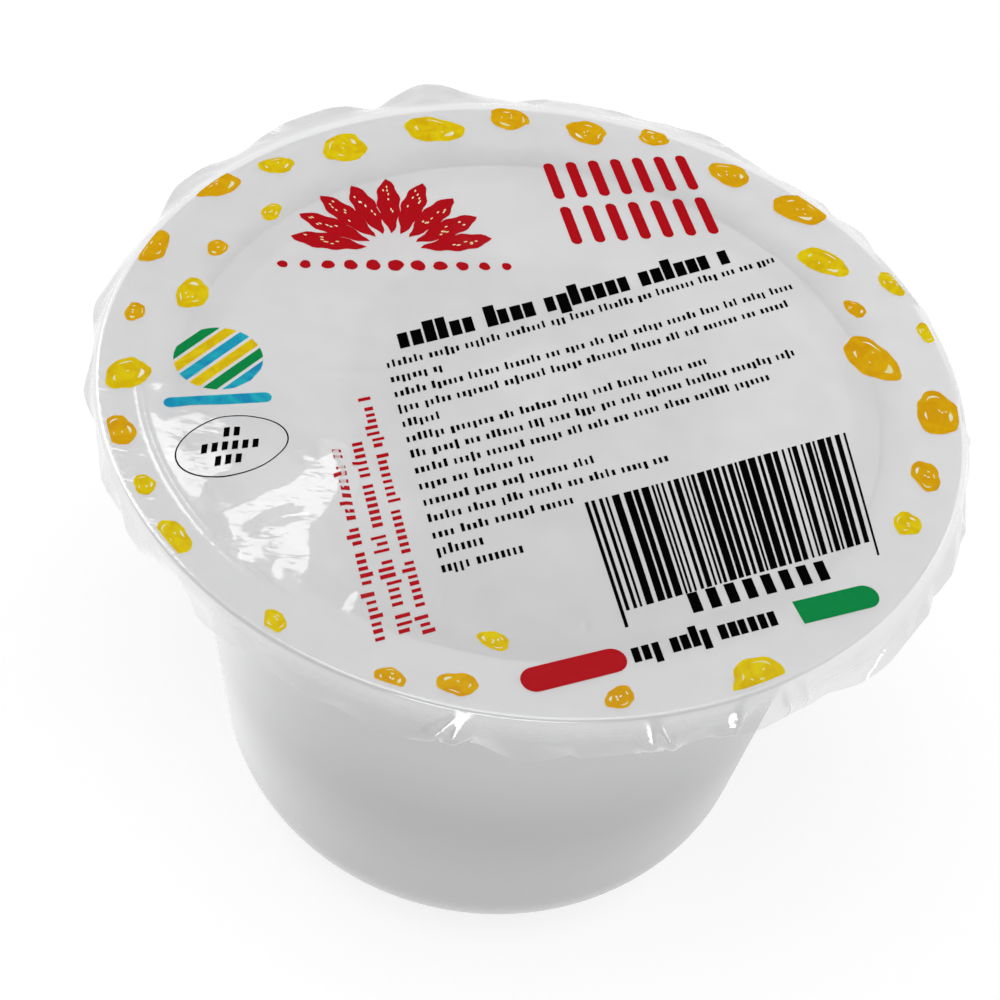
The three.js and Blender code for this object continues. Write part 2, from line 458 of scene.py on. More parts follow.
def cup_material():
    """Thermoformed white plastic: faint orange peel, glossier outside than on the drawn bend.

    Around half the wall's height its colour is painted a little greyer, as painted shade.
    """
    nodes = Nodes("cup_plastic")
    peel = nodes.noise(120, detail=1)
    # Painted shade: the wall is painted greyer around half its height, fading out above and below.
    away = nodes.compute("ABSOLUTE", nodes.compute("SUBTRACT", nodes.height(), PAINTED_SHADE_HEIGHT))
    beyond_painted_shade = nodes.spread(away, *PAINTED_SHADE_REACH)
    return nodes.finish(nodes.add("ShaderNodeBsdfPrincipled", {
        "Base Color": nodes.blend(beyond_painted_shade, PAINTED_SHADE_PLASTIC, WHITE_PLASTIC),
        "Roughness": nodes.spread(nodes.height(), *TOP_OF_WALL, WALL_ROUGHNESS, RIM_ROUGHNESS),
        "IOR": 1.49,
        "Subsurface Weight": 0.1,
        "Subsurface Radius": (0.002, 0.002, 0.002),
        "Subsurface Scale": 1.0,
        "Normal": nodes.bumps(peel, 0.1, 0.0002),
    }))


def filling_material():
    """Wet fresh cheese, painted greyer towards the front of the window as painted shade."""
    nodes = Nodes("filling")
    curds = nodes.noise(110, detail=3, distortion=0.4)
    tone = nodes.spread(curds, *NOISE_RANGE)
    # Painted shade: greyer near the front of the window; this share is 0 there and 1 past its
    # reach.
    cheese = nodes.spread(nodes.distance_from(PAINTED_FRONT_SHADE_AT), *PAINTED_FRONT_SHADE_REACH)
    cheese_colour = nodes.blend(tone, CHEESE_HOLLOWS, CHEESE_CURDS)
    return nodes.finish(nodes.add("ShaderNodeBsdfPrincipled", {
        "Base Color": nodes.blend(cheese, PAINTED_FRONT_SHADE, cheese_colour),
        "Roughness": nodes.spread(curds, *NOISE_RANGE, 0.3, 0.5),
        "IOR": 1.35,
        "Normal": nodes.bumps(curds, 0.15, 0.0006),
    }))


def film_material():
    """Clear glossy film, milky over the rim and the opening, and clearer down its skirt."""
    nodes = Nodes("film")
    down_skirt = nodes.spread(nodes.height(), *DOWN_SKIRT)
    clouds = nodes.noise(150, detail=1)
    unevenness = nodes.spread(clouds, *NOISE_RANGE, -HAZE_UNEVEN, HAZE_UNEVEN)
    beyond_front = nodes.spread(nodes.distance_from(FRONT_AT), *FRONT_REACH)
    skirt_haze = nodes.spread(beyond_front, 0.0, 1.0, FRONT_HAZE, SKIRT_HAZE)
    haze = nodes.add("ShaderNodeMix", {0: down_skirt, 2: WINDOW_HAZE, 3: skirt_haze}).outputs[0]
    clear_skirt = nodes.blend(beyond_front, FRONT_CLEAR, SKIRT_CLEAR)
    past_rim = nodes.spread(nodes.radius(), *PAST_RIM)
    clear = nodes.add("ShaderNodeBsdfTransparent", {
        "Color": nodes.blend(past_rim, WINDOW_CLEAR, clear_skirt),
    })
    white = nodes.add("ShaderNodeBsdfPrincipled", {"Base Color": MILKY_FILM, "Roughness": 0.35})
    body = nodes.add("ShaderNodeMixShader", {
        0: nodes.compute("ADD", haze, unevenness),
        1: clear.outputs[0],
        2: white.outputs[0],
    })
    facing = nodes.add("ShaderNodeLayerWeight", {"Blend": 0.5}).outputs["Facing"]
    return nodes.finish(nodes.add("ShaderNodeMixShader", {
        0: nodes.spread(nodes.compute("POWER", facing, 5.0), 0.0, 1.0, FILM_GLOSS, 1.0),
        1: body.outputs[0],
        2: film_gloss(nodes).outputs[0],
    }))


def film_gloss(nodes):
    """The film's shine: fine streaky ripples, and a blurred bend but for the left of the rim."""
    streaks = nodes.add("ShaderNodeMapping", {
        "Vector": nodes.place(),
        "Rotation": (0, 0, -math.radians(STREAK_HEADING)),
        "Scale": STREAK_SHAPE,
    }).outputs[0]
    ripples = nodes.noise(RIPPLE_SCALE, detail=2, roughness=0.6, place=streaks)
    beyond_flat = nodes.spread(nodes.radius(), *BEND_RADII)
    above_skirt = nodes.spread(nodes.height(), *BEND_HEIGHTS)
    bend = nodes.compute("MULTIPLY", beyond_flat, above_skirt)
    past_left = nodes.spread(nodes.distance_from(LEFT_AT), *LEFT_REACH)
    blurred = nodes.compute("MULTIPLY", bend, past_left)
    return nodes.add("ShaderNodeBsdfGlossy", {
        "Color": WHITE,
        "Roughness": nodes.spread(blurred, 0.0, 1.0, FILM_ROUGHNESS, BEND_ROUGHNESS),
        "Normal": nodes.bumps(ripples, 0.3, 0.0002),
    })


def ink_material(name):
    """Printed ink: a little uneven, and glossy."""
    nodes = Nodes(name)
    density = nodes.spread(nodes.noise(420, detail=3, distortion=1.2), *NOISE_RANGE)
    return nodes.finish(nodes.add("ShaderNodeBsdfPrincipled", {
        "Base Color": nodes.blend(density, *INK_COLOURS[name]),
        "Roughness": 0.25,
        "IOR": BLACK_IOR if name == "print_black" else INK_IOR,
    }))


# ---------------- cup and filling


def cup():
    """One turned wall from the middle of the base, out round the rim, and back inside."""
    taper = math.degrees(WALL_TAPER)
    underside = CUP_HEIGHT - WALL_THICKNESS
    edge = FLANGE_RADIUS - RIM_CORNER
    under_rim = arc(RIM_CENTRE, RIM_BEND - WALL_THICKNESS, 180 - taper, 90, RIM_STEPS[0])
    profile = [(radius, 0) for radius in BASE_RINGS]
    profile += arc(FILLET_CENTRE, BASE_FILLET, -90, -taper, FILLET_STEPS[0])
    profile += straight(profile[-1], under_rim[0], WALL_STEPS)
    profile += under_rim
    profile += arc((edge, underside + RIM_CORNER), RIM_CORNER, -90, 0, CORNER_STEPS)
    profile += arc((edge, CUP_HEIGHT - RIM_CORNER), RIM_CORNER, 0, 90, CORNER_STEPS)
    profile += arc(RIM_CENTRE, RIM_BEND, 90, 180 - taper, RIM_STEPS[1])
    profile += arc(FILLET_CENTRE, BASE_FILLET - WALL_THICKNESS, -taper, -90, FILLET_STEPS[1])
    profile += [(0, WALL_THICKNESS)]
    vertices, faces = turned(profile, CUP_SEGMENTS)
    return new_piece("cup_shell", vertices, faces, "cup_plastic", cup_material(), ["cup"])


def straight(start, end, steps):
    """Points between two points, neither end included."""
    shares = [step / steps for step in range(1, steps)]
    return [tuple(a + (b - a) * share for a, b in zip(start, end)) for share in shares]


def filling():
    """The surface is level, lifted a little by the cheese, and by the liquid at the wall."""
    taper = math.degrees(WALL_TAPER)
    wall = RIM_CENTRE[0] - RIM_BEND + INTO_WALL
    fillet = BASE_FILLET - WALL_THICKNESS + INTO_WALL
    radii = wall * (1 - np.linspace(0, 1, SURFACE_RINGS) ** SURFACE_CROWDING)
    profile = [(0, WALL_THICKNESS - INTO_WALL)]
    profile += arc(FILLET_CENTRE, fillet, -90, -taper, FILLING_FILLET_STEPS)
    for radius in radii[:-1]:
        crown = CROWN_HEIGHT * 0.5 * (1 + math.cos(math.pi * min(radius / CROWN_RADIUS, 1)))
        meniscus = MENISCUS_HEIGHT * math.exp((radius - wall) / MENISCUS_WIDTH)
        profile.append((radius, CUP_HEIGHT - FILL_DEPTH + crown + meniscus))
    profile.append((0, CUP_HEIGHT - FILL_DEPTH + CROWN_HEIGHT))
    vertices, faces = turned(profile, FILLING_SEGMENTS)
    return new_piece("filling_surface", vertices, faces, "filling", filling_material(), ["filling"])


# ---------------- film


def bump(angle, at, spread):
    """Smooth bump in polar angle, 1 at its middle."""
    away = np.abs((angle - at + 180) % 360 - 180)
    return np.exp(-((away / spread) ** 2))


def dart_lift(angle, along):
    """Degrees that the darts stand out by, all of it near the rim and none at the trimmed edge."""
    lifts = [
        lift * bump(angle, at + lean * along, spread) for at, lean, spread, lift in SKIRT_DARTS
    ]
    return np.max(lifts, axis=0) * min((1 - along) / DART_FADES, 1)


def skirt_droop(angle, along):
    """Degrees below level."""
    away = np.abs((angle - RAISED_AT + 180) % 360 - 180)
    droop = HANGING - (HANGING - RAISED) / (1 + (away / RAISED_SPREAD) ** 4)
    for at, spread, lift, _ in SKIRT_FOLDS:
        droop = droop - lift * bump(angle, at, spread)
    return droop - dart_lift(angle, along)


def skirt_length(angle):
    at, spread, extra = SKIRT_FRONT
    length = SKIRT_LENGTH + extra * bump(angle, at, spread)
    for at, spread, _, extra in SKIRT_FOLDS:
        length = length + extra * bump(angle, at, spread)
    return length


def kinked(angle, knots, size, seed):
    """Seeded noise round the tub made of straight stretches, as cut or folded film has."""
    rng = np.random.default_rng(seed)
    wander = rng.uniform(-KNOT_WANDER, KNOT_WANDER, knots)
    at = np.sort((np.arange(knots) + wander) * 360 / knots % 360)
    return np.interp(angle, at, rng.uniform(-size, size, knots), period=360)


def pleat_height(angle):
    turn = np.radians(angle)
    return sum(size * np.sin(count * turn + phase) for count, size, phase in PLEATS)


def ridge(x, y, start, end, width, height):
    """A crease between two points that fades at both ends."""
    start, end = np.array(start, float), np.array(end, float)
    length = np.hypot(*(end - start))
    along_x, along_y = (end - start) / length
    along = ((x - start[0]) * along_x + (y - start[1]) * along_y) / length
    across = (y - start[1]) * along_x - (x - start[0]) * along_y
    fade = np.clip(CREASE_FADE - np.abs(2 * along - 1) * CREASE_FADE, 0, 1)
    return height * fade * np.exp(-((across / width) ** 2))


# Small creases: start, end, half width, height
CREASES = [
    ((-40.3, -13.0), (-37.4, -10.2), 0.8, 0.13),
    ((-25.5, -6.6), (-13.6, -4.2), 0.7, 0.1),
    ((-6.4, -37.2), (-5.9, -33.2), 0.4, 0.08),
    ((7.9, -36.6), (8.3, -34.9), 0.4, 0.14),
]
# Where the flat facets of the crumpled film meet, near the seal: x, y, height, all times 100
FACET_CORNERS = np.array([
    (-1210, -3537, 0), (-1389, -3584, 14), (-1462, -3559, 6), (-1523, -3660, -6), (-1410, -3752, 5),
    (-1563, -3831, -16), (-1477, -3877, -6), (-1255, -3995, 0), (-1616, -4026, 0),
    (-1628, -2670, 0), (-1903, -2670, 50), (-2006, -2827, 29), (-1543, -3188, 0), (-1771, -3075, 8),
    (-2058, -2931, 17), (-1993, -3012, 19), (-1946, -3162, 16), (-2177, -3101, -5),
    (-2242, -3127, -13), (-2078, -3253, -3), (-1933, -3342, 9), (-1787, -3494, 2),
    (-2246, -3260, -20), (-1948, -3474, 1), (-2055, -3430, -8), (-2174, -3376, -17),
    (-2089, -3514, -9), (-2234, -3426, -23), (-2312, -3377, -29), (-2377, -3350, -26),
    (-2184, -3533, -14), (-1974, -3658, 1), (-2297, -3503, -31), (-2426, -3451, -22),
    (-1829, -3807, -2), (-2033, -3707, -1), (-2205, -3626, -15), (-2094, -3694, -5),
    (-2363, -3567, 0), (-1923, -3824, 0), (-2158, -3718, 0), (-1617, -2111, 0), (-1950, -1864, 110),
    (-1821, -2067, 109), (-2079, -1962, 79), (-2000, -2118, 81), (-1798, -2331, 89),
    (-1993, -2329, 65), (-2202, -2145, 55), (-1847, -2522, 68), (-2303, -2321, 30),
    (-2187, -2507, 29), (-2042, -2684, 32), (-2125, -2619, 28), (-2422, -2401, 12),
    (-2263, -2591, 15), (-2150, -2706, 7), (-2077, -2773, 24), (-2389, -2520, 7),
    (-2542, -2467, -4), (-2385, -2643, -1), (-2316, -2739, -19), (-2206, -2839, 6),
    (-2215, -2949, -1), (-2528, -2740, -19), (-2680, -2592, -24), (-2607, -2701, -24),
    (-2356, -2950, -14), (-2500, -2884, -35), (-2343, -3014, -16), (-2813, -2688, -40),
    (-2367, -3099, -21), (-2656, -2861, -36), (-2502, -3072, -30), (-2450, -3181, -29),
    (-2724, -2969, -45), (-2874, -2877, -55), (-2952, -2798, -56), (-2845, -2966, -55),
    (-2628, -3190, -41), (-2886, -2961, -37), (-2482, -3319, -32), (-2794, -3063, -52),
    (-3011, -2850, -26), (-2581, -3273, -41), (-2712, -3167, -44), (-3081, -2851, -10),
    (-2684, -3254, -49), (-2764, -3203, -49), (-2949, -3040, -10), (-2543, -3409, -38),
    (-2729, -3276, 0), (-2550, -3423, 0), (-3128, -2914, 0), (-2985, -3061, 0), (-2846, -3193, 0),
    (-2701, -3362, -53), (-1856, -1610, 0), (-2164, -1600, 14), (-2379, -1466, 0),
    (-2532, -1498, 6), (-2308, -1850, 55), (-2499, -1729, 27), (-2433, -1963, 61),
    (-2679, -1985, 48), (-2902, -1709, 34), (-2626, -2146, 45), (-2565, -2247, 27),
    (-2931, -1877, 45), (-3056, -1975, 56), (-2890, -2271, 49), (-3187, -1901, 41),
    (-2814, -2439, 9), (-3256, -2060, 37), (-3102, -2385, 26), (-3052, -2570, 2),
    (-3144, -2519, 15), (-3345, -2264, 19), (-3488, -2136, 20), (-3148, -2686, 6),
    (-3316, -2484, 8), (-3299, -2648, 0), (-3536, -2374, 0), (-3666, -2173, 0), (-3411, -2559, 0),
    (-3278, -2740, 0), (-2830, -1335, 0), (-3082, -1658, 56), (-3311, -1330, 0), (-3248, -1573, 53),
    (-3251, -1752, 39), (-3438, -1524, 45), (-3393, -1678, 37), (-3389, -1840, 27),
    (-3670, -1391, 0), (-3587, -1615, 28), (-3489, -1905, 19), (-3546, -2018, 14),
    (-3756, -1702, 10), (-3711, -1848, 8), (-3646, -2082, 4), (-3984, -1503, 0), (-3898, -1725, 0),
    (-3791, -1953, 0),
]) / 100


class Facets:
    """Flat triangles between the facet corners, level with the film outside them."""

    def __init__(self, corners):
        corners = np.array(corners)
        plane = [Vector(corner[:2]) for corner in corners]
        triangles = np.array(delaunay_2d_cdt(plane, [], [], 0, 1e-6)[2])
        places, self.heights = corners[triangles][:, :, :2], corners[triangles][:, :, 2]
        self.origins = places[:, 0]
        sides = (places[:, 1:] - places[:, :1]).transpose(0, 2, 1)
        self.shares = np.linalg.inv(sides)

    def height(self, x, y):
        away = np.stack([x, y]) - self.origins[:, :, None]
        shares = self.shares @ away
        first = 1 - shares.sum(1)
        inside = (shares.min(1) > -1e-9) & (first > -1e-9)
        level = (
            first * self.heights[:, :1]
            + shares[:, 0] * self.heights[:, 1:2]
            + shares[:, 1] * self.heights[:, 2:]
        )
        return np.where(inside.any(0), level[inside.argmax(0), np.arange(len(x))], 0.0)


FACETS = Facets(FACET_CORNERS)


def skirt_crumple():
    """Small flat facets all round the skirt, over the plane of polar angle and share of length.

    Shares are stretched so that the plane has the skirt's own proportions.
    """
    rng = np.random.default_rng(SEED + 1)
    stretch = math.degrees(SKIRT_LENGTH / FLANGE_RADIUS)
    pitch = 360 / CRUMPLE_KNOTS
    corners = [(knot * pitch, 0.0, 0.0) for knot in range(CRUMPLE_KNOTS)]
    for number, share in enumerate(CRUMPLE_ROWS):
        for knot in range(CRUMPLE_KNOTS):
            wander = rng.uniform(-CRUMPLE_WANDER, CRUMPLE_WANDER)
            at = (knot + 0.5 * (number % 2) + wander) * pitch
            height = rng.uniform(-1, 1) * CRUMPLE_HEIGHT * share
            if share < 1:
                low = share + rng.uniform(-CRUMPLE_ROW_WANDER, CRUMPLE_ROW_WANDER)
            else:
                low = share + CRUMPLE_PAST_EDGE
            corners.append((at % 360, low * stretch, height))
    around = [(at + turn, low, height) for at, low, height in corners for turn in (-360, 0, 360)]
    near = [corner for corner in around if -15 < corner[0] < 375]
    return Facets(near), stretch


def film_relief(x, y):
    """Height that facets, creases and the seal add to the film over the rim and the opening."""
    radius = np.hypot(x, y)
    angle = np.degrees(np.arctan2(y, x))
    over_opening = np.clip((RIM_CENTRE[0] - radius) / WAVE_EDGE, 0, 1)
    first, second = [np.sin(by_x * x + by_y * y + phase) for by_x, by_y, phase in WAVES]
    relief = WAVE_HEIGHT * first * second
    for start, end, width, height in CREASES:
        relief += ridge(x, y, start, end, width, height)
    relief = relief * over_opening + FACETS.height(x, y)
    depth = bump(angle, SEAL_BEAD_AT, SEAL_BEAD_SPREAD)
    for bead in SEAL_BEADS:
        relief += SEAL_BEAD_HEIGHT * depth * np.exp(-(((radius - bead) / SEAL_BEAD_WIDTH) ** 2))
    return relief


def film_height(x, y):
    """Height of the film's middle surface over the rim and the opening."""
    in_opening = np.minimum(np.hypot(x, y) / RIM_CENTRE[0], 1)
    sag = FILM_SAG * (1 - in_opening**2) ** 2
    return CUP_HEIGHT + FILM_LIFT - sag + film_relief(x, y)


def window_rows(turn):
    """Rings of film points over the opening and the rim."""
    rings = [np.linspace(start, end, count, endpoint=False) for start, end, count in FILM_RINGS]
    rows = []
    for radius in np.append(np.concatenate(rings), FLANGE_RADIUS):
        x, y = radius * np.cos(turn), radius * np.sin(turn)
        rows.append(np.stack([x, y, film_height(x, y)], 1))
    return rows


def skirt_rows(angles):
    """Rings of film points round the bend at the rim's edge, and then down the skirt."""
    turn = np.radians(angles)
    length = skirt_length(angles) + kinked(angles, EDGE_KNOTS, EDGE_JITTER, SEED)
    pleats = pleat_height(angles)
    crumple, stretch = skirt_crumple()
    bend_steps = [(share, 0.0) for share in np.linspace(0, 1, BEND_STEPS + 1)[1:]]
    skirt_steps = [(1.0, share) for share in np.linspace(0, 1, SKIRT_STEPS + 1)[1:]]
    rows = []
    for bent, along in bend_steps + skirt_steps:
        droop = np.radians(skirt_droop(angles, along))
        crumpled = crumple.height(angles % 360, np.full(len(angles), along * stretch))
        crumpled = crumpled * np.clip(1 - dart_lift(angles, along) / DART_CLEARS, 0, 1)
        bend = FILM_LIFT + pleats * along**2 + crumpled
        run = along * length
        radius = FLANGE_RADIUS + bend * np.sin(droop * bent) + run * np.cos(droop * bent)
        height = CUP_HEIGHT + bend * np.cos(droop * bent) - run * np.sin(droop * bent)
        rows.append(np.stack([radius * np.cos(turn), radius * np.sin(turn), height], 1))
    return rows


def film():
    """One sheet from the middle of the window to the trimmed edge, closer where it is creased."""
    angles = np.concatenate([np.linspace(*stretch, endpoint=False) for stretch in FILM_SEGMENTS])
    rows = window_rows(np.radians(angles)) + skirt_rows(angles)
    vertices = np.concatenate(rows).tolist()
    faces = grid_faces(len(rows), len(angles))
    middle = len(vertices)
    vertices.append((0, 0, float(film_height(np.zeros(1), np.zeros(1))[0])))
    faces += [(middle, (c + 1) % len(angles), c) for c in range(len(angles))]
    faces = [face[::-1] for face in faces]
    sheet = new_piece("lid_film_sheet", vertices, faces, "film", film_material(), ["lid_film"])
    sheet.visible_shadow = False
    return sheet


# ---------------- print


class Ink:
    """Collects the shapes of one ink, each laid on the film, for one mesh."""

    def __init__(self):
        self.lift = INK_LIFT
        self.vertices, self.faces = [], []

    def lay(self, points):
        """Adds plane points on the film and returns the number of the first."""
        first = len(self.vertices)
        points = np.asarray(points, float)
        height = film_height(points[:, 0], points[:, 1]) + self.lift
        self.vertices += np.column_stack([points, height]).tolist()
        return first

    def grid(self, place, columns, rows):
        """A shape given by a rule from two shares (along, across) to a plane point."""
        shares = [(c / columns, r / rows) for r in range(rows + 1) for c in range(columns + 1)]
        first = self.lay([place(along, across) for along, across in shares])
        self.faces += grid_faces(rows + 1, columns + 1, first, closed=False)

    def disc(self, centre, outline, rings):
        """A shape filled from its centre to an outline that runs anticlockwise."""
        count = len(outline)
        points = [centre]
        for ring in range(1, rings + 1):
            points += list(centre + (outline - centre) * ring / rings)
        first = self.lay(points)
        for c in range(count):
            after = (c + 1) % count
            self.faces.append((first, first + 1 + c, first + 1 + after))
            for ring in range(rings - 1):
                low = first + 1 + ring * count
                self.faces.append((low + c, low + count + c, low + count + after, low + after))

    def loop(self, outer, inner):
        """A band between two closed outlines with as many points each."""
        first = self.lay(list(outer) + list(inner))
        self.faces += grid_faces(2, len(outer), first)


def heading(degrees):
    return np.array([math.cos(math.radians(degrees)), math.sin(math.radians(degrees))])


def block(ink, corner, along, up, width, height):
    """A parallelogram from its lower left corner."""
    columns, rows = [max(1, round(side / BLOCK_STEP)) for side in (width, height)]
    ink.grid(lambda a, b: corner + along * width * a + up * height * b, columns, rows)


def word_blocks(ink, rng, up, start, direction, length, x_height, pitch, fill):
    """Stands in for a line of text: a row of small plain blocks, parted into words."""
    along, up = heading(direction), heading(up)
    start = np.array(start)
    at, end = 0.0, length - pitch * 0.5
    while at < end:
        for _ in range(int(rng.integers(*WORD_BLOCKS))):
            if at > end:
                break
            tall, deep = rng.random() < TALL[0], rng.random() < DEEP[0]
            low = -DEEP[1] * x_height if deep else 0
            high = x_height * (TALL[1] if tall else 1)
            corner = start + along * at + up * low
            block(ink, corner, along, up, pitch * rng.uniform(*fill), high - low)
            at += pitch
        at += pitch * WORD_GAP


def text_area(black, red, rng):
    """Title, paragraph and the three upright lines, all of plain blocks."""
    word_blocks(black, rng, LABEL_UP, *TITLE)
    first, last = np.array(PARAGRAPH_STARTS)
    direction, turn = PARAGRAPH_HEADINGS
    for number, length in enumerate(PARAGRAPH):
        share = number / (len(PARAGRAPH) - 1)
        start = first + (last - first) * share
        x_height = PARAGRAPH_HEIGHTS[number]
        line = (start, direction + turn * share, length, x_height, PARAGRAPH_PITCH, LINE_FILL)
        word_blocks(black, rng, LABEL_UP, *line)
    for line in UPRIGHT_LINES:
        word_blocks(red, rng, LABEL_UP + UPRIGHT_SLANT, *line)


def barcode(black, rng):
    """Bars of seeded widths between a top and a bottom edge, the end bars longer."""
    top, bottom = np.array(BARS_TOP), np.array(BARS_BOTTOM)
    widths = []
    while sum(widths) < 1:
        widths += [rng.choice(DARK_BARS), rng.choice(CLEAR_BARS)]
    widths = np.array(widths[: len(widths) // 2 * 2 - 1])
    edges = np.concatenate([[0], np.cumsum(widths)]) / widths.sum()
    bars = list(zip(edges[0::2], edges[1::2]))
    for number, (left, right) in enumerate(bars):
        reach = END_BARS if number in (0, len(bars) - 1) else 1.0

        def place(along, across, left=left, right=right, reach=reach):
            share = left + (right - left) * along
            high, low = [edge[0] + (edge[1] - edge[0]) * share for edge in (top, bottom)]
            return high + (low - high) * across * reach

        black.grid(place, 1, 20)
    start, direction, blocks, pitch, size = UNDER_BARS
    for number in range(blocks):
        corner = np.array(start) + heading(direction) * number * pitch
        block(black, corner, heading(direction), heading(LABEL_UP), *size)


def capsule(ink, start, end, half, square_start=False):
    """A bar with round ends between two points."""
    start, end = np.asarray(start, float), np.asarray(end, float)
    along = (end - start) / np.hypot(*(end - start))
    across = np.array([-along[1], along[0]])

    def place(a, b):
        side = -math.cos(math.pi * b)
        round_end = along * half * math.sin(math.pi * b)
        low = start if square_start else start - round_end
        return low + (end + round_end - low) * a + across * half * side

    ink.grid(place, max(2, round(np.hypot(*(end - start)))), 10)


def ellipse(centre, half, along, up, points=64, reach=1.0):
    """An ellipse's outline, anticlockwise. Reach carries its points in or out by a share."""
    turns = np.linspace(0, 2 * math.pi, points, endpoint=False)
    return (
        centre
        + np.outer(reach * np.cos(turns) * half[0], heading(along))
        + np.outer(reach * np.sin(turns) * half[1], heading(up))
    )


def badge(blue, green, yellow):
    """A round spot of plain slanting bands, with a short bar below it."""
    centre, along, up = np.array(BADGE_AT), heading(BADGE_HEADING), heading(BADGE_HEADING + 90)
    bands = [blue, green, yellow, blue, yellow, green]
    levels = np.linspace(-1, 1, len(bands) + 1)
    for number, ink in enumerate(bands):

        def place(a, b, number=number):
            rise = levels[number] + (levels[number + 1] - levels[number] - BADGE_GAP) * b
            reach = math.sqrt(max(0.0, 1 - rise**2))
            return centre + (along * reach * (2 * a - 1) + up * rise) * BADGE_RADIUS

        ink.grid(place, 16, 3)
    capsule(blue, *BADGE_BAR)


def oval(black):
    """A thin oval with three short rows of blocks in it."""
    centre = np.array(OVAL_AT)
    outer, inner = [ellipse(centre, half, *OVAL_HEADINGS) for half in OVAL_HALVES]
    black.loop(outer, inner)
    along, up = [heading(direction) for direction in OVAL_HEADINGS]
    for rise, blocks in OVAL_ROWS:
        start = centre - along * blocks * OVAL_PITCH / 2 + up * rise
        for number in range(blocks):
            corner = start + along * number * OVAL_PITCH
            block(black, corner, along, up, *OVAL_BLOCK)


def petals(red, flecks, rng):
    """A half round of petals over a row of dots, as if drawn with a crayon."""
    centre = np.array(PETALS_AT)
    root, tip = PETAL_REACH
    first, step = PETAL_TURNS
    for number in range(PETALS):
        turn = PETALS_TILT + first + number * step
        shorter = abs(number - PETALS // 2) * PETAL_SHORTENS
        length = tip - shorter + rng.uniform(-PETAL_JITTER, PETAL_JITTER)

        def place(a, b, turn=turn, length=length):
            width = PETAL_HALF * math.sin(math.pi * a) ** 0.7 * (0.55 + 0.45 * a)
            wobble = 0.12 * math.sin(23 * a + turn)
            side = (2 * b - 1) * width + wobble
            reach = root + (length - root) * a
            return centre + heading(turn) * reach + heading(turn + 90) * side

        red.grid(place, 16, 4)
        for _ in range(PETAL_FLECKS):
            spot = place(rng.uniform(0.35, 0.85), rng.uniform(0.3, 0.7))
            fleck(flecks, spot, FLECK_SIZE, turn, rng)
    pitch, drop = DOT_ROW
    size, shrink = DOT_SIZES
    for number in range(-(DOTS // 2), DOTS // 2 + 1):
        spot = centre + heading(PETALS_TILT) * number * pitch - heading(PETALS_TILT + 90) * drop
        half = size - abs(number) * shrink
        red.disc(spot, blob_outline(spot, (half, half), 0, 0.12, rng, 20), 2)


def red_bars(red):
    """Two rows of upright bars with round ends."""
    along, up = heading(RED_BARS_HEADING), heading(LABEL_UP)
    start, pitch, count = RED_BARS_RUN
    length, half = RED_BAR
    for rise in RED_BARS_RISE:
        for number in range(count):
            foot = np.array(RED_BARS_AT) + along * (number * pitch + start) + up * rise
            capsule(red, foot, foot + up * length, half)


def blob_outline(centre, size, direction, lumps, rng, points=40):
    """A rounded hand-drawn outline, anticlockwise."""
    turns = np.linspace(0, 2 * math.pi, points, endpoint=False)
    reach = np.ones(points)
    for count in (2, 3, 5, 9):
        reach += lumps / count * np.sin(count * turns + rng.uniform(0, 2 * math.pi))
    return ellipse(centre, size, direction, direction + 90, points, reach)


def fleck(flecks, centre, size, direction, rng):
    """A tiny gap in the ink below it."""
    flecks.disc(centre, blob_outline(centre, size, direction, FLECK_LUMPS, rng, 8), 1)


def cut_at_rim(centre, outline):
    """Pulls an outline in towards its centre, as far as the print reaches."""
    away = outline - centre
    reach = np.hypot(*away.T)
    along = away @ centre / reach
    room = np.sqrt(along**2 + PRINT_RADIUS**2 - centre @ centre) - along
    return centre + away * np.minimum(1, room / reach)[:, None]


def gap_stroke(flecks, middle, outline, inward, start, sweep, half_width):
    """A curved stroke inside a spot's outline, as where its ink has a gap. Sizes are shares."""
    numbers = np.arange(len(outline))

    def place(a, b):
        number = (start + sweep * a) * len(outline)
        edge = [np.interp(number, numbers, side, period=len(outline)) for side in outline.T]
        share = inward + (2 * b - 1) * half_width * math.sin(math.pi * a)
        return middle + (np.array(edge) - middle) * share

    flecks.grid(place, 8, 2)


def spots(inks, flecks, taken, rng):
    """Rounded spots near the rim, clear of the other print, some cut off where the print ends."""
    made = []
    long, wide = SPOT_STRETCH
    apart, room = SPOT_APART
    for _ in range(SPOT_TRIES):
        centre = heading(rng.uniform(0, 360)) * rng.uniform(*SPOT_MIDDLES)
        half = rng.uniform(*SPOT_SIZES)
        if np.hypot(*(taken - centre).T).min() < half + SPOT_CLEAR:
            continue
        if any(np.hypot(*(centre - at)) < (half + other) * apart + room for at, other in made):
            continue
        made.append((centre, half))
        round_rim = math.degrees(math.atan2(centre[1], centre[0])) + 90
        direction = round_rim + rng.uniform(-SPOT_TILT, SPOT_TILT)
        whole = blob_outline(centre, (half * long, half * wide), direction, SPOT_LUMPS, rng)
        outline = cut_at_rim(centre, whole)
        middle = outline.mean(0)
        inks[int(rng.random() < 0.5)].disc(middle, outline, 4)
        start = rng.uniform(0, 1)
        for inward, after, sweep, half_width in GAP_STROKES:
            gap_stroke(flecks, middle, outline, inward, start + after, sweep, half_width)
        for _ in range(int(rng.integers(1, 4))):
            dot = middle + heading(rng.uniform(0, 360)) * half * rng.uniform(0.05, 0.4)
            fleck(flecks, dot, SPOT_DOT, rng.uniform(0, 180), rng)


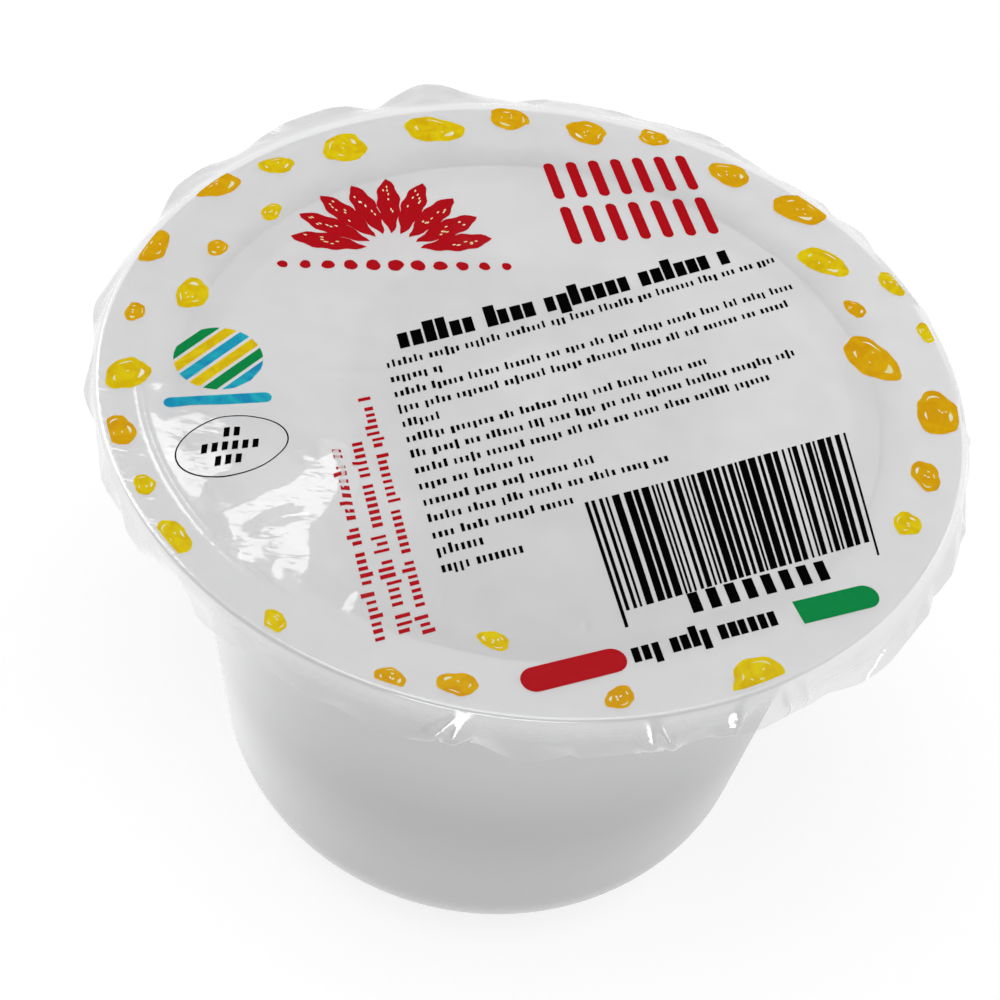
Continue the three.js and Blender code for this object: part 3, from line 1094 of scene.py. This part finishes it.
def build_print():
    rng = np.random.default_rng(SEED + 5)
    inks = {name: Ink() for name in INK_COLOURS}
    black, red, orange, yellow, green, blue, flecks = inks.values()
    flecks.lift = FLECK_LIFT
    text_area(black, red, rng)
    barcode(black, rng)
    capsule(red, *RED_CAPSULE)
    capsule(green, *GREEN_CAPSULE, square_start=True)
    word_blocks(black, rng, LABEL_UP, *FOOT_LINE)
    badge(blue, green, yellow)
    oval(black)
    petals(red, flecks, rng)
    red_bars(red)
    printed = [np.array(ink.vertices)[:, :2] for ink in (black, red, green, blue)]
    taken = np.concatenate([*printed, FACET_CORNERS[:, :2]])
    spots([orange, yellow], flecks, taken, rng)
    pieces = []
    for name, ink in inks.items():
        slot = "film" if ink is flecks else name
        piece = new_piece(name, ink.vertices, ink.faces, slot, ink_material(name))
        piece.visible_shadow = False
        pieces.append(piece)
    return pieces


# ---------------- studio


def floor():
    bpy.ops.mesh.primitive_plane_add(size=FLOOR_SIZE)
    plane = bpy.context.object
    plane.name = "floor"
    nodes = Nodes("floor")
    plane.data.materials.append(nodes.finish(nodes.add("ShaderNodeBsdfPrincipled", {
        "Base Color": FLOOR_COLOUR,
        "Roughness": 0.9,
        "Specular IOR Level": 0.1,
        "Emission Color": WHITE,
        "Emission Strength": FLOOR_GLOW,
    })))


def towards(azimuth, elevation):
    """Direction from the tub. Azimuth 0 is behind the tub and 180 is the camera's side."""
    turn, rise = math.radians(azimuth), math.radians(elevation)
    return Vector((
        math.sin(turn) * math.cos(rise),
        math.cos(turn) * math.cos(rise),
        math.sin(rise),
    ))


def tent():
    """A white tent of light all round, dimmer in two parts.

    One is what the flat film mirrors to the camera, which keeps the print dark. The other is the
    camera's own side, which gives the wall its darker middle.
    """
    nodes = Nodes("tent", world=True)
    place = nodes.add("ShaderNodeTexCoord").outputs["Generated"]
    strength = TENT_RADIANCE
    for azimuth, elevation, inner, outer, share in DIM_PARTS:
        inputs = {0: place, 1: towards(azimuth, elevation)}
        nearness = nodes.add("ShaderNodeVectorMath", inputs, operation="DOT_PRODUCT")
        limits = [math.cos(math.radians(edge)) for edge in (outer, inner)]
        near = nearness.outputs["Value"]
        left = nodes.spread(near, *limits, 1.0, share, interpolation_type="SMOOTHSTEP")
        strength = nodes.compute("MULTIPLY", left, strength)
    glow = nodes.add("ShaderNodeBackground", {"Color": WHITE, "Strength": strength})
    bpy.context.scene.world = nodes.finish(glow)


def softbox(name, azimuth, elevation, distance, size, radiance):
    """An area light that faces the tub."""
    away = towards(azimuth, elevation)
    light = bpy.data.lights.new(name, "AREA")
    light.shape = "RECTANGLE"
    light.size, light.size_y = size
    light.energy = radiance * math.pi * size[0] * size[1]
    lamp = bpy.data.objects.new(name, light)
    lamp.location = Vector(SOFTBOX_AIM) + away * distance
    lamp.rotation_euler = away.to_track_quat("Z", "Y").to_euler()
    lamp.visible_camera = False
    bpy.context.scene.collection.objects.link(lamp)
    return lamp


def group(name, pieces):
    """A collection of pieces that a light is meant for."""
    collection = bpy.data.collections.new(name)
    for piece in pieces:
        collection.objects.link(piece)
    return collection


def studio(lit):
    """Soft light all round. Some lights fall on the tub or its film alone.

    That keeps their shadows off the floor, and lets the film glint without lighting the rest.
    """
    floor()
    tent()
    for *box, what, mirrored in SOFTBOXES:
        lamp = softbox(*box)
        lamp.visible_glossy = mirrored
        if what in lit:
            lamp.light_linking.receiver_collection = group(lamp.name + "_on", lit[what])
    bpy.context.scene.view_settings.view_transform = "Standard"


def camera():
    """The photograph's view: from the front, looking steeply down, turned a little."""
    data = bpy.data.cameras.new("camera")
    data.lens = CAMERA_LENS
    data.clip_start = 0.01
    view = bpy.data.objects.new("camera", data)
    bpy.context.scene.collection.objects.link(view)
    place = Matrix.Translation(CAMERA_AT)
    pitch = Matrix.Rotation(math.radians(90 - CAMERA_DOWN), 4, "X")
    roll = Matrix.Rotation(math.radians(CAMERA_ROLL), 4, "Z")
    view.matrix_world = place @ pitch @ roll
    bpy.context.scene.camera = view


def main():
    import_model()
    camera()
    shell = cup()
    cheese = filling()
    sheet = film()
    print_pieces = build_print()
    studio({
        "tub": [shell, cheese, sheet, *print_pieces],
        "cup": [shell],
        "film": [sheet],
        "cup and film": [shell, sheet],
    })


main()
